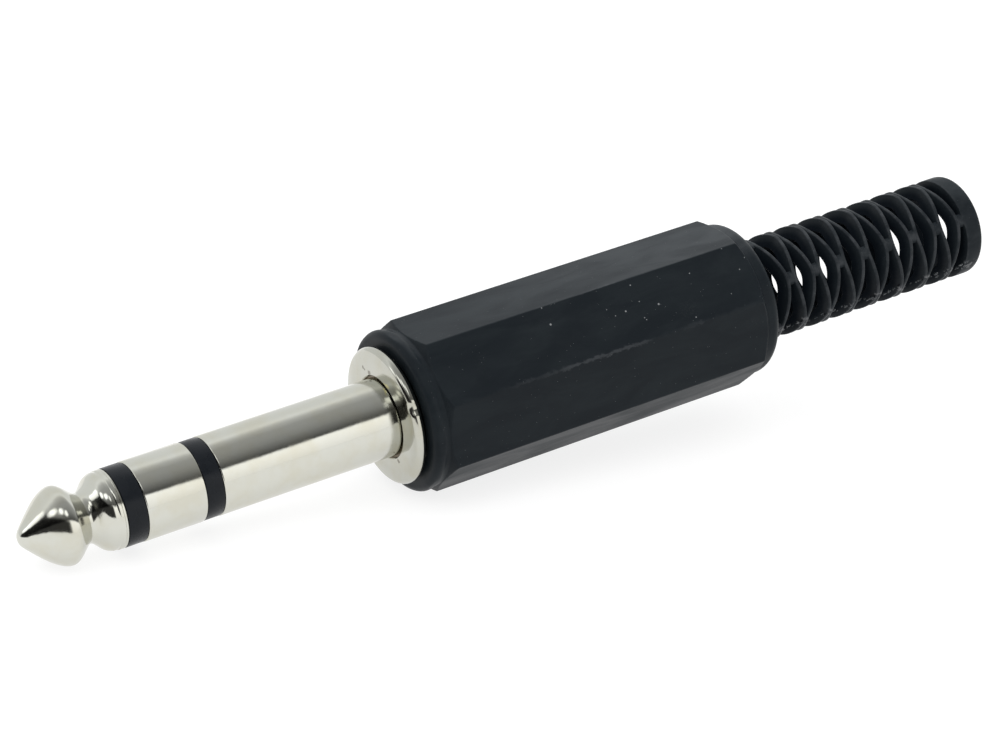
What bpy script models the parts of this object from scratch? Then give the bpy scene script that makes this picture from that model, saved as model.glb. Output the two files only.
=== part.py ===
"""A 6.35 mm stereo jack plug with a black octagonal screw cover and a moulded bend relief.

The plug is modelled on its own axis, with +X toward the cable and the origin at the front face
of the flange. It hangs from one empty, which lays it on the floor as it comes to rest, nose down
on the ball of its tip and the front edge of the lip's lower flat. Lengths are in metres.
"""

from math import cos, pi, radians, sin

import bmesh
import bpy
from mathutils import Matrix

MM = 0.001

# Contacts, from the nose to the flange: the standard sizes of a 6.35 mm plug.
SHAFT_R = 3.175 * MM
TIP_LENGTH = 7.65 * MM
INSULATOR_A = 1.65 * MM
RING_LENGTH = 4.9 * MM
INSULATOR_B = 1.5 * MM
SLEEVE_LENGTH = 15.3 * MM
INSULATOR_R = 3.13 * MM
EDGE_DROP = 0.06 * MM
EDGE_RUN = 0.1 * MM

# Coaxial stack inside the sleeve. Each tube has this much air to the next one.
ROD_R = 1.15 * MM
ROD_FILLET = 0.1 * MM
STACK_AIR = 0.1 * MM
TIP_TUBE_WALL = 0.4 * MM
RING_TUBE_WALL = 0.4 * MM
RING_INSULATOR_WALL = 0.35 * MM
JOINT_AIR = 0.05 * MM

# Flange and the threaded hub behind it.
FLANGE_T = 1.0 * MM
FLANGE_RIM = 0.48 * MM
FLANGE_LIP = 0.9 * MM
HOLE_AIR = 0.275 * MM
HOLE_DEPTH = 1.6 * MM
HUB_WALL = 1.475 * MM
HUB_END = 7.0 * MM
THREAD_RELIEF = 0.6 * MM
THREAD_DEPTH = 0.3 * MM
THREAD_AIR = 0.25 * MM

# Washers and solder lugs behind the hub.
LUG_T = 0.5 * MM
LUG_AIR = 0.55 * MM
WASHER_T = 0.7 * MM
WASHER_AIR = 0.25 * MM
ROD_HEAD_LIP = 0.5 * MM
ROD_HEAD_T = 0.5 * MM
TAG_WIDTH = 2.2 * MM
TAG_LENGTH = 6.5 * MM
TAG_AIR = 0.2 * MM
EYE_R = 0.5 * MM
EYE_MARGIN = 1.3 * MM
EYE_DRILL = 2.0 * MM
TONGUE_WIDTH = 3.0 * MM
TONGUE_LENGTH = 12.5 * MM
CLAMP_LENGTH = 6.0 * MM
CLAMP_RISE = 1.7 * MM
CLAMP_AIR = 0.1 * MM

# Screw cover.
COVER_WALL = 1.55 * MM
COVER_AIR = 0.15 * MM
LIP_RISE = 0.1 * MM
LIP_ROUND = 0.6 * MM
GROOVE_WIDTH = 0.15 * MM
GROOVE_DEPTH = 0.15 * MM
FRONT_CHAMFER = 0.5 * MM
FLATS_LENGTH = 29.1 * MM
CORNER_MARGIN = 0.14 * MM
REAR_CHAMFER = 0.5 * MM
REAR_COLLAR = 1.4 * MM
COLLAR_DROP = 0.1 * MM
REAR_ROUND = 0.8 * MM
REAR_WALL = 1.7 * MM
CAVITY_TAPER = 2.0 * MM
CABLE_R = 3.3 * MM

# Bend relief: staggered slots through a tube leave wavy rings.
RELIEF_LENGTH = 22.6 * MM
RELIEF_WALL = 1.0 * MM
ROOT_FILLET = 0.2 * MM
END_ROUND = 0.45 * MM
BORE_CHAMFER = 0.2 * MM
NODE_PITCH = 2.52 * MM
NODE_COUNT = 8
END_RING = 2.0 * MM
NODE_ANGLE = radians(148)
RIB_OUT = 0.34 * MM
RIB_DRAFT = 0.8 * MM
WAVE = 0.36 * MM
SLOT_REACH_OUT = radians(82)
SLOT_REACH_IN = radians(48)

TURN_STEPS = 40
COVER_STEPS = 36
STACK_STEPS = 32

# Finishes: base colour, metallic and roughness.
NICKEL = ((0.62, 0.6, 0.56), 1.0, 0.12)
TIN = ((0.68, 0.64, 0.55), 1.0, 0.3)
GLOSS_BLACK = ((0.012, 0.012, 0.013), 0.0, 0.2)
FIBRE = ((0.05, 0.03, 0.02), 0.0, 0.6)
COVER_PLASTIC = ((0.018, 0.02, 0.023), 0.0, 0.42)

NOSE = -(TIP_LENGTH + INSULATOR_A + RING_LENGTH + INSULATOR_B + SLEEVE_LENGTH)
TIP_END = NOSE + TIP_LENGTH
RING_START = TIP_END + INSULATOR_A
RING_END = RING_START + RING_LENGTH
SLEEVE_START = RING_END + INSULATOR_B
TIP_TUBE_IN = ROD_R + STACK_AIR
TIP_TUBE_OUT = TIP_TUBE_IN + TIP_TUBE_WALL
RING_TUBE_IN = TIP_TUBE_OUT + STACK_AIR
RING_TUBE_OUT = RING_TUBE_IN + RING_TUBE_WALL
RING_INS_IN = RING_TUBE_OUT + STACK_AIR
RING_INS_OUT = RING_INS_IN + RING_INSULATOR_WALL
SLEEVE_IN = RING_INS_OUT + STACK_AIR

# Radii and stations that follow from the sizes above.
HOLE_R = SHAFT_R + HOLE_AIR
HUB_R = SHAFT_R + JOINT_AIR + HUB_WALL
FLANGE_R = HUB_R + FLANGE_LIP
BORE_R = HUB_R + THREAD_AIR
FLAT_R = BORE_R + COVER_WALL
CORNER_R = FLAT_R / cos(pi / 8)
LIP_R = FLAT_R + LIP_RISE
COLLAR_R = FLAT_R - COLLAR_DROP
LUG_R = BORE_R - LUG_AIR
CLAMP_R = LUG_R - CLAMP_AIR
TONGUE_Z = -(CLAMP_R - LUG_T / 2 - JOINT_AIR)
WASHER_R = -TONGUE_Z - LUG_T / 2 - WASHER_AIR
TIP_LUG_R = RING_INS_OUT
RING_TAG_Z = WASHER_R + TAG_AIR
TIP_TAG_Z = ROD_R + ROD_HEAD_LIP + TAG_AIR
COVER_START = FLANGE_T + COVER_AIR
GROOVE_X = COVER_START + 2 * LIP_ROUND
CHAMFER_X = GROOVE_X + GROOVE_WIDTH
FLATS_START = CHAMFER_X + FRONT_CHAMFER
FLATS_END = FLATS_START + FLATS_LENGTH
COVER_END = FLATS_END + REAR_CHAMFER + REAR_COLLAR
CAVITY_END = FLATS_END - REAR_WALL
RELIEF_R = CABLE_R + RELIEF_WALL
RELIEF_END = COVER_END + RELIEF_LENGTH
GROUND_LUG = HUB_END + JOINT_AIR
WASHER_A = GROUND_LUG + LUG_T + JOINT_AIR
RING_LUG = WASHER_A + WASHER_T + JOINT_AIR
WASHER_B = RING_LUG + LUG_T + JOINT_AIR
TIP_LUG = WASHER_B + WASHER_T + JOINT_AIR
ROD_HEAD = TIP_LUG + LUG_T + JOINT_AIR
CLAMP_START = GROUND_LUG + TONGUE_LENGTH
CLAMP_END = CLAMP_START + CLAMP_LENGTH

# The tip's outline: distance from the nose and radius, in millimetres.
TIP_OUTLINE = [
    (0.0, 0.0),
    (0.06, 0.26),
    (0.24, 0.52),
    (0.7, 1.14),
    (1.57, 2.05),
    (2.37, 2.68),
    (2.8, 2.95),
    (3.15, 3.09),
    (3.45, 3.13),
    (3.75, 3.06),
    (4.0, 2.88),
    (4.35, 2.52),
    (4.7, 2.16),
    (4.95, 1.98),
    (5.12, 1.94),
    (5.4, 2.02),
    (5.75, 2.24),
    (6.0, 2.53),
    (6.25, 2.86),
    (6.55, 3.07),
    (6.9, 3.13),
    (7.5, 3.14),
    (7.65, 3.06),
]


def clear_scene():
    for obj in list(bpy.data.objects):
        bpy.data.objects.remove(obj, do_unlink=True)


def new_collection(name):
    collection = bpy.data.collections.new(name)
    bpy.context.scene.collection.children.link(collection)
    return collection


def material(name, look):
    color, metallic, roughness = look
    mat = bpy.data.materials.new(name)
    mat.use_nodes = True
    shader = mat.node_tree.nodes["Principled BSDF"]
    shader.inputs["Base Color"].default_value = (*color, 1.0)
    shader.inputs["Metallic"].default_value = metallic
    shader.inputs["Roughness"].default_value = roughness
    return mat


def add_object(name, mesh, collection, parent):
    obj = bpy.data.objects.new(name, mesh)
    collection.objects.link(obj)
    obj.parent = parent
    return obj


def turned(name, outline, collection, parent, steps=TURN_STEPS):
    """Turns an outline of (x, radius) about the plug's axis.

    It runs toward the cable on the outside and comes back on the inside. An outline that starts
    on the axis is solid, and any other is a closed loop.
    """
    points = outline[::-1]
    mesh = bpy.data.meshes.new(name)
    edges = [(i, i + 1) for i in range(len(points) - 1)]
    if points[0][1] > 0 or points[-1][1] > 0:
        edges.append((len(points) - 1, 0))
    mesh.from_pydata([(r, 0.0, x) for x, r in points], edges, [])
    obj = add_object(name, mesh, collection, parent)
    obj.rotation_euler = (0.0, pi / 2, 0.0)
    screw = obj.modifiers.new("Turn", "SCREW")
    screw.axis = "Z"
    screw.angle = 2 * pi
    screw.steps = steps
    screw.render_steps = steps
    screw.use_merge_vertices = True
    screw.merge_threshold = 0.000001
    return obj


def block(name, low, high, collection, parent):
    mesh = bpy.data.meshes.new(name)
    solid = bmesh.new()
    size = [h - l for l, h in zip(low, high)]
    middle = [(h + l) / 2 for l, h in zip(low, high)]
    bmesh.ops.create_cube(solid, size=1.0)
    bmesh.ops.scale(solid, vec=size, verts=solid.verts)
    bmesh.ops.translate(solid, vec=middle, verts=solid.verts)
    solid.to_mesh(mesh)
    solid.free()
    return add_object(name, mesh, collection, parent)


def rod_along(name, radius, length, axis, place, steps, collection, parent):
    """A plain cylinder along X or Z with its middle at place."""
    mesh = bpy.data.meshes.new(name)
    solid = bmesh.new()
    turn = Matrix.Rotation(pi / 2, 4, "Y") if axis == "X" else Matrix.Identity(4)
    bmesh.ops.create_cone(
        solid,
        cap_ends=True,
        segments=steps,
        radius1=radius,
        radius2=radius,
        depth=length,
        matrix=turn,
    )
    bmesh.ops.translate(solid, vec=place, verts=solid.verts)
    solid.to_mesh(mesh)
    solid.free()
    return add_object(name, mesh, collection, parent)


def boolean(obj, operation, other):
    step = obj.modifiers.new(other.name, "BOOLEAN")
    step.operation = operation
    step.solver = "EXACT"
    step.object = other


def hide(obj):
    obj.hide_render = True
    obj.display_type = "WIRE"


def finish(obj, look, sharp=30):
    """Keeps the modified mesh, smooth shaded up to the given edge angle, in its own material."""
    graph = bpy.context.evaluated_depsgraph_get()
    mesh = bpy.data.meshes.new_from_object(obj.evaluated_get(graph))
    mesh.name = obj.name
    obj.modifiers.clear()
    obj.data = mesh
    mesh.materials.clear()
    mesh.materials.append(material(obj.name, look))
    mesh.shade_smooth()
    mesh.set_sharp_from_angle(angle=radians(sharp))


def tip_outline():
    return [(NOSE + d * MM, r * MM) for d, r in TIP_OUTLINE]


def rounded(middle_x, middle_r, size, turns):
    """Points on an arc of an outline at these angles: 0 faces the cable and 90 faces out."""
    return [(middle_x + size * cos(radians(t)), middle_r + size * sin(radians(t))) for t in turns]


def cover_outline():
    """Outline of the cover before its flats are cut: lip, groove, chamfers, collar and relief."""
    lip = rounded(COVER_START + LIP_ROUND, LIP_R - LIP_ROUND, LIP_ROUND, (180, 150, 120, 90, 60))
    over = CORNER_R + CORNER_MARGIN
    foot = LIP_R - GROOVE_DEPTH
    front_run = (over - foot) * FRONT_CHAMFER / (CORNER_R - foot)
    rear_run = (over - COLLAR_R) * REAR_CHAMFER / (CORNER_R - COLLAR_R)
    turn_x = COVER_END - REAR_ROUND
    rear = rounded(turn_x, COLLAR_R - REAR_ROUND, REAR_ROUND, (90, 60, 30, 0))
    return [
        (COVER_START, BORE_R),
        *lip,
        (GROOVE_X, foot),
        (CHAMFER_X, foot),
        (CHAMFER_X + front_run, over),
        (FLATS_END + REAR_CHAMFER - rear_run, over),
        (FLATS_END + REAR_CHAMFER, COLLAR_R),
        *rear,
        (COVER_END, RELIEF_R + ROOT_FILLET),
        (COVER_END + ROOT_FILLET, RELIEF_R),
        (RELIEF_END - END_ROUND, RELIEF_R),
        (RELIEF_END - END_ROUND * 0.3, RELIEF_R - END_ROUND * 0.3),
        (RELIEF_END, RELIEF_R - END_ROUND),
        (RELIEF_END, CABLE_R + BORE_CHAMFER),
        (RELIEF_END - BORE_CHAMFER, CABLE_R),
        (CAVITY_END + CAVITY_TAPER, CABLE_R),
        (CAVITY_END, BORE_R),
    ]


def lowest(outline, pitch):
    return min(x * sin(pitch) - r * cos(pitch) for x, r in outline)


def lower_outline():
    """The cover's outline below its axis, where the lower flat cuts off what stands out."""
    outline = cover_outline()
    points = []
    for (x0, r0), (x1, r1) in zip(outline, outline[1:]):
        points.append((x0, min(r0, FLAT_R)))
        if (r0 - FLAT_R) * (r1 - FLAT_R) < 0:
            points.append((x0 + (x1 - x0) * (FLAT_R - r0) / (r1 - r0), FLAT_R))
    return points


def rest_pitch():
    """The nose-down angle at which the tip's ball and the cover's lower side touch one floor."""
    cover = lower_outline()
    low = 0.0
    high = radians(20)
    for _ in range(60):
        middle = (low + high) / 2
        if lowest(tip_outline(), middle) > lowest(cover, middle):
            low = middle
        else:
            high = middle
    return low


def slot_width(turn):
    """Width of a slot at the outside, at this angle from its middle."""
    return NODE_PITCH / 2 + 2 * WAVE * cos(2 * turn) - RIB_OUT


def add_slot(solid, middle_x, middle_angle, rows=9):
    """One lens-shaped slot cutter, wide outside and narrow inside, wrapped round the axis."""
    out_r = RELIEF_R + ROOT_FILLET
    in_r = CABLE_R - ROOT_FILLET
    ring = []
    for i in range(rows + 1):
        part = 2 * i / rows - 1
        corners = []
        for radius, reach, slimmer, side in (
            (out_r, SLOT_REACH_OUT, 0.0, 1),
            (out_r, SLOT_REACH_OUT, 0.0, -1),
            (in_r, SLOT_REACH_IN, RIB_DRAFT, -1),
            (in_r, SLOT_REACH_IN, RIB_DRAFT, 1),
        ):
            turn = part * reach
            half = (slot_width(turn) - slimmer) / 2
            angle = middle_angle + turn
            place = (middle_x + side * half, radius * cos(angle), radius * sin(angle))
            corners.append(solid.verts.new(place))
        ring.append(corners)
    for before, after in zip(ring, ring[1:]):
        for k in range(4):
            solid.faces.new((before[k], before[(k + 1) % 4], after[(k + 1) % 4], after[k]))
    solid.faces.new(ring[0][::-1])
    solid.faces.new(ring[-1])


def slot_cutter(collection, parent):
    mesh = bpy.data.meshes.new("relief_slots")
    solid = bmesh.new()
    last_node = RELIEF_END - END_RING
    for i in range(NODE_COUNT):
        node_x = last_node - NODE_PITCH * i
        for half_turn in (0.0, pi):
            add_slot(solid, node_x - NODE_PITCH / 2, NODE_ANGLE + half_turn)
            if i > 0:
                add_slot(solid, node_x, NODE_ANGLE + pi / 2 + half_turn)
    bmesh.ops.recalc_face_normals(solid, faces=solid.faces)
    solid.to_mesh(mesh)
    solid.free()
    obj = add_object("relief_slots", mesh, collection, parent)
    hide(obj)
    return obj


def build_contacts(parts, root):
    tip = tip_outline()
    tip += [
        (TIP_END, ROD_R + ROD_FILLET),
        (TIP_END + JOINT_AIR / 2, ROD_R),
        (ROD_HEAD, ROD_R),
        (ROD_HEAD, ROD_R + ROD_HEAD_LIP),
        (ROD_HEAD + ROD_HEAD_T * 0.6, ROD_R + ROD_HEAD_LIP * 0.8),
        (ROD_HEAD + ROD_HEAD_T, ROD_R),
        (ROD_HEAD + ROD_HEAD_T, 0.0),
    ]
    finish(turned("tip_contact", tip, parts, root, STACK_STEPS), NICKEL)

    tube_end = WASHER_B + WASHER_T
    tip_insulator = [
        (TIP_END + JOINT_AIR, TIP_TUBE_IN),
        (TIP_END + JOINT_AIR, INSULATOR_R),
        (RING_START - JOINT_AIR, INSULATOR_R),
        (RING_START - JOINT_AIR, TIP_TUBE_OUT),
        (tube_end, TIP_TUBE_OUT),
        (tube_end, TIP_TUBE_IN),
    ]
    finish(turned("tip_insulator", tip_insulator, parts, root, STACK_STEPS), GLOSS_BLACK)

    ring = [
        (RING_START, RING_TUBE_IN),
        (RING_START, SHAFT_R - EDGE_DROP),
        (RING_START + EDGE_RUN, SHAFT_R),
        (RING_END - EDGE_RUN, SHAFT_R),
        (RING_END, SHAFT_R - EDGE_DROP),
        (RING_END, RING_TUBE_OUT),
        (RING_LUG + LUG_T, RING_TUBE_OUT),
        (RING_LUG + LUG_T, RING_TUBE_IN),
    ]
    finish(turned("ring_contact", ring, parts, root, STACK_STEPS), NICKEL)

    ring_insulator = [
        (RING_END + JOINT_AIR, RING_INS_IN),
        (RING_END + JOINT_AIR, INSULATOR_R),
        (SLEEVE_START - JOINT_AIR, INSULATOR_R),
        (SLEEVE_START - JOINT_AIR, RING_INS_OUT),
        (WASHER_A + WASHER_T, RING_INS_OUT),
        (WASHER_A + WASHER_T, RING_INS_IN),
    ]
    finish(turned("ring_insulator", ring_insulator, parts, root, STACK_STEPS), GLOSS_BLACK)

    sleeve = [
        (SLEEVE_START, SLEEVE_IN),
        (SLEEVE_START, SHAFT_R - EDGE_DROP),
        (SLEEVE_START + EDGE_RUN, SHAFT_R),
        (HUB_END, SHAFT_R),
        (HUB_END, SLEEVE_IN),
    ]
    finish(turned("sleeve_contact", sleeve, parts, root, STACK_STEPS), NICKEL)


def build_flange(parts, root):
    rim_r = FLANGE_R - FLANGE_RIM
    rim = rounded(FLANGE_T / 2, rim_r, FLANGE_RIM, (180, 150, 120, 90, 60, 30, 0))
    press_r = SHAFT_R + JOINT_AIR
    outline = [(0.0, HOLE_R), (0.0, rim_r), *rim]
    outline += [
        (FLANGE_T, HUB_R - THREAD_DEPTH),
        (FLANGE_T + THREAD_RELIEF, HUB_R - THREAD_DEPTH),
        (FLANGE_T + THREAD_RELIEF + THREAD_DEPTH, HUB_R),
        (HUB_END - THREAD_DEPTH, HUB_R),
        (HUB_END, HUB_R - THREAD_DEPTH),
        (HUB_END, press_r),
        (HOLE_DEPTH, press_r),
        (HOLE_DEPTH, HOLE_R),
    ]
    finish(turned("threaded_flange", outline, parts, root, TURN_STEPS), NICKEL)


def disc(name, start, length, inner, outer, collection, root):
    outline = [(start, inner), (start, outer), (start + length, outer), (start + length, inner)]
    return turned(name, outline, collection, root, STACK_STEPS)


def build_lugs(parts, cutters, root):
    ground = disc("ground_lug", GROUND_LUG, LUG_T, RING_INS_OUT + STACK_AIR, LUG_R, parts, root)
    half = TONGUE_WIDTH / 2
    low = (GROUND_LUG, -half, TONGUE_Z - LUG_T / 2)
    high = (CLAMP_END, half, TONGUE_Z + LUG_T / 2)
    tongue = block("ground_tongue", low, high, cutters, root)
    arc = [
        (CLAMP_START, CLAMP_R - LUG_T),
        (CLAMP_START, CLAMP_R),
        (CLAMP_END, CLAMP_R),
        (CLAMP_END, CLAMP_R - LUG_T),
    ]
    claws = turned("ground_claws", arc, cutters, root, STACK_STEPS)
    low = (CLAMP_START - LUG_T, -CLAMP_R - LUG_T, CLAMP_RISE)
    high = (CLAMP_END + LUG_T, CLAMP_R + LUG_T, CLAMP_R + LUG_T)
    opening = block("claw_opening", low, high, cutters, root)
    boolean(claws, "DIFFERENCE", opening)
    for other in (tongue, claws):
        boolean(ground, "UNION", other)
    for other in (tongue, claws, opening):
        hide(other)
    finish(ground, TIN)

    washer = disc("rear_washer_a", WASHER_A, WASHER_T, RING_INS_OUT + STACK_AIR, WASHER_R, parts, root)
    finish(washer, FIBRE)
    washer = disc("rear_washer_b", WASHER_B, WASHER_T, TIP_TUBE_OUT + STACK_AIR, WASHER_R, parts, root)
    finish(washer, FIBRE)

    for name, start, inner, outer, height, turn in (
        ("ring_lug", RING_LUG, RING_TUBE_OUT + JOINT_AIR, WASHER_R, RING_TAG_Z, 0.0),
        ("tip_lug", TIP_LUG, ROD_R + JOINT_AIR, TIP_LUG_R, TIP_TAG_Z, -pi / 2),
    ):
        lug = disc(name, start, LUG_T, inner, outer, parts, root)
        end = start + TAG_LENGTH
        half = TAG_WIDTH / 2
        low = (start, -half, (inner + outer) / 2)
        ear = block(name + "_ear", low, (start + LUG_T, half, height + LUG_T), cutters, root)
        low = (start, -half, height)
        tag = block(name + "_tag", low, (end, half, height + LUG_T), cutters, root)
        hole_at = (end - EYE_MARGIN, 0.0, height)
        hole = rod_along(name + "_eye", EYE_R, EYE_DRILL, "Z", hole_at, 16, cutters, root)
        boolean(tag, "UNION", ear)
        boolean(lug, "UNION", tag)
        boolean(lug, "DIFFERENCE", hole)
        for other in (ear, tag, hole):
            other.rotation_euler = (turn, 0.0, 0.0)
            hide(other)
        finish(lug, TIN)


def build_cover(parts, cutters, root):
    cover = turned("screw_cover", cover_outline(), parts, root, COVER_STEPS)
    length = 1.2 * (RELIEF_END - COVER_START)
    middle = ((RELIEF_END + COVER_START) / 2, 0.0, 0.0)
    flats = rod_along("flats", CORNER_R, length, "X", middle, 8, cutters, root)
    flats.rotation_euler = (pi / 8, 0.0, 0.0)
    hide(flats)
    boolean(cover, "INTERSECT", flats)
    boolean(cover, "DIFFERENCE", slot_cutter(cutters, root))
    finish(cover, COVER_PLASTIC, 25)


def main():
    clear_scene()
    parts = new_collection("Jack plug")
    cutters = new_collection("Cutters")
    root = bpy.data.objects.new("plug_axis", None)
    root.empty_display_size = 0.01
    parts.objects.link(root)

    build_contacts(parts, root)
    build_flange(parts, root)
    build_lugs(parts, cutters, root)
    build_cover(parts, cutters, root)

    pitch = rest_pitch()
    low_x = NOSE * cos(pitch)
    high_x = RELIEF_END * cos(pitch) - RELIEF_R * sin(pitch)
    root.rotation_euler = (0.0, -pitch, 0.0)
    root.location = (-(low_x + high_x) / 2, 0.0, -lowest(tip_outline(), pitch))
    bpy.context.view_layer.update()


main()
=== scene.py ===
"""Looks for the stereo jack plug: nickel contacts, a black moulded cover with its bend relief,
a white table and soft light. Shapes are drawn in millimetres in the plug's own frame, while
materials, lights and the camera are in metres."""

import random
from math import asin, atan2, cos, pi, radians, sin, sqrt

import bpy
import numpy as np
from mathutils import Matrix


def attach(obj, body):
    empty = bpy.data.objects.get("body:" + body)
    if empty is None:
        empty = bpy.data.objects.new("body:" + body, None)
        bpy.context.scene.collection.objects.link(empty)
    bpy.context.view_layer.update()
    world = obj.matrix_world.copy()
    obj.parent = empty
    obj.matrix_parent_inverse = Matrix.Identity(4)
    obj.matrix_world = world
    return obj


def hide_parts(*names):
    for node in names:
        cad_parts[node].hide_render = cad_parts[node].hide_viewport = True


MM = 0.001
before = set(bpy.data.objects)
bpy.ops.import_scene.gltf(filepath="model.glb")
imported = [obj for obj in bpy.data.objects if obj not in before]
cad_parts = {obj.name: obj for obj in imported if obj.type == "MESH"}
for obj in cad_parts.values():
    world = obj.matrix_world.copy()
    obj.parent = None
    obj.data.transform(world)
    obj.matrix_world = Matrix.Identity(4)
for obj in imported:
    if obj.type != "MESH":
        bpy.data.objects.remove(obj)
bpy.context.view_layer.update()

# The plug's own axis in the row frame: +X runs toward the cable, x = 0 is the flange's face.
PITCH = radians(6.632881)
PLUG_ORIGIN = (-0.012466, 0.0, 0.006291)
PLUG = Matrix.Translation(PLUG_ORIGIN) @ Matrix.Rotation(-PITCH, 4, "Y")

# Shaft, from the nose to the sleeve.
TIP_LENGTH = 7.65
TIP_END = -23.35
TIP_RIM_R = 3.13
GROOVE_DEPTH = 0.03
RING_START = -21.7
RING_END = -16.8
SLEEVE_START = -15.3
SHAFT_R = 3.175
EDGE_R = 0.1
INSULATOR_R = 3.13
INSULATOR_EDGE_R = 0.05
INSULATOR_GAP = 0.03

# What runs back through the shaft: the tip's rod with its riveted end, and the ring's tail.
ROD_R = 1.15
ROD_END = 10.2
RIVET_R = 1.6
RIVET_LENGTH = 0.5
RING_TAIL_R = 2.15
RING_TAIL_END = 8.8
RING_BORE_R = 1.75
SLEEVE_BORE_R = 2.7

# Flange and threaded hub.
FLANGE_T = 1.0
FLANGE_R = 5.595
FLANGE_RIM = 0.48
HOLE_R = 3.45
HOLE_DEPTH = 1.6
SEAT_R = 3.19
HUB_R = 4.7
HUB_END = 7.0
HUB_BORE_R = 3.225
THREAD_START = FLANGE_T + 0.6
THREAD_PITCH = 0.75
THREAD_TURNS = 6
THREAD_ROOT_R = HUB_R - 0.32
THREAD_CREST_R = HUB_R - 0.02
THREAD_RIB = (
    (0.02, THREAD_ROOT_R), (0.3, THREAD_CREST_R), (0.42, THREAD_CREST_R), (0.7, THREAD_ROOT_R),
)

# The nick in the flange's rim, at mid height on the near side.
NICK_ANGLE = radians(151)
NICK_HALF = radians(7)
NICK_DEPTH = 0.16
NICK_REACH = 0.45

# Screw cover.
COVER_START = 1.15
COVER_END = 34.0
LIP_R = 6.6
LIP_ROUND = 0.6
NECK_R = LIP_R - 0.15
NECK_END = 2.5
FLAT_R = 6.5
FLATS_END = 32.1
CHAMFER = 0.5
CORNER_R = FLAT_R / cos(pi / 8)
CORNER_SOFT = 0.22
COLLAR_R = 6.4
COLLAR_ROUND = 0.8
BORE_R = 4.95
BORE_DEPTH = 8.0
BORE_TURNS = 8
CAVITY_R = BORE_R - 0.05
CAVITY_END = 30.4
CABLE_R = 3.3

# Where the octagon starts to cut the lip, and where it runs softly into the turned outline.
CUT_START = 1.2
SOFT_START = 2.3

# A radius beyond the octagon's corners: the octagon alone decides there.
BEYOND_R = 7.5

# Bend relief: three nodes to a turn, where a pair of rings closes.
RELIEF_END = 56.6
RELIEF_R = 4.29
RIB_BORE_R = CABLE_R - 0.05
NODE_PITCH = 2.52
NODE_COUNT = 8
NODE_ANGLE = radians(148)
LAST_NODE = RELIEF_END - 2.0
WAVE = 0.385
WAVE_MEAN = -0.115
WAVE_PEAK = 0.9
LEAN = 0.8
FLASH_ANGLE = radians(209)
FLASH_START = COVER_END + 0.5
FLASH_LENGTH = 20.4
CRUMB_COUNT = 46


# Mesh helpers.


def new_mesh(name, points, faces, sharp=None):
    """A mesh in the plug's frame. With an angle it is smooth, and edges sharper than that stay sharp."""
    mesh = bpy.data.meshes.new(name)
    mesh.from_pydata([tuple(c * MM for c in p) for p in points], [], faces)
    mesh.validate()
    if sharp:
        mesh.shade_smooth()
        mesh.set_sharp_from_angle(angle=radians(sharp))
    obj = bpy.data.objects.new(name, mesh)
    bpy.context.scene.collection.objects.link(obj)
    obj.matrix_world = PLUG
    return obj


def around(x, r, angle):
    """The point at this radius and angle round the plug's axis."""
    return (x, r * cos(angle), r * sin(angle))


def grid_faces(rows, columns, closed):
    """Faces between rows of points, each row a closed loop. Closed joins the last row to the first."""
    faces = []
    for i in range(rows if closed else rows - 1):
        a = i * columns
        b = ((i + 1) % rows) * columns
        for j in range(columns):
            k = (j + 1) % columns
            faces.append((a + j, b + j, b + k, a + k))
    return faces


def hoop_faces(steps, count, start=0):
    """Faces of a section of this many points that is carried once round the axis."""
    faces = []
    for j in range(steps):
        a = start + j * count
        b = start + ((j + 1) % steps) * count
        for i in range(count):
            k = (i + 1) % count
            faces.append((a + i, a + k, b + k, b + i))
    return faces


def revolve(name, outline, steps=128, closed=True, shape=None, sharp=30):
    """Turns an outline of (x, radius) about the plug's axis: closed, or open with both ends on the axis.
    shape may move each point."""
    points = []
    for x, r in outline:
        for j in range(steps):
            angle = 2 * pi * j / steps
            moved = shape(x, r, angle) if shape else (x, r)
            points.append(around(*moved, angle))
    return new_mesh(name, points, grid_faces(len(outline), steps, closed), sharp)


def arc(x, r, size, start, end, count):
    """Points along an arc about (x, r), from one angle to another in degrees."""
    turns = [radians(start + (end - start) * i / count) for i in range(count + 1)]
    return [(x + size * cos(t), r + size * sin(t)) for t in turns]


def curve_through(keys, count):
    """A smooth run of points through (x, r) keys."""
    xs = np.array([k[0] for k in keys])
    rs = np.array([k[1] for k in keys])
    steps = np.hypot(np.diff(xs), np.diff(rs))
    t = np.concatenate([[0], np.cumsum(steps)])
    fine = np.linspace(0, t[-1], count)

    def spline(v):
        slope = np.diff(v) / np.diff(t)
        m = np.concatenate([[slope[0]], (slope[:-1] + slope[1:]) / 2, [slope[-1]]])
        k = np.clip(np.searchsorted(t, fine, side="right") - 1, 0, len(t) - 2)
        h = t[k + 1] - t[k]
        u = (fine - t[k]) / h
        return (
            (2 * u**3 - 3 * u**2 + 1) * v[k]
            + (u**3 - 2 * u**2 + u) * h * m[k]
            + (3 * u**2 - 2 * u**3) * v[k + 1]
            + (u**3 - u**2) * h * m[k + 1]
        )

    return list(zip(spline(xs).tolist(), spline(rs).tolist()))


def dress(obj, node, mat, body, replaces=True):
    """Gives a piece its material and says which CAD node and body it belongs to."""
    obj.data.materials.clear()
    obj.data.materials.append(mat)
    if replaces:
        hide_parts(node)
    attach(obj, body)


# Node helpers.


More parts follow.
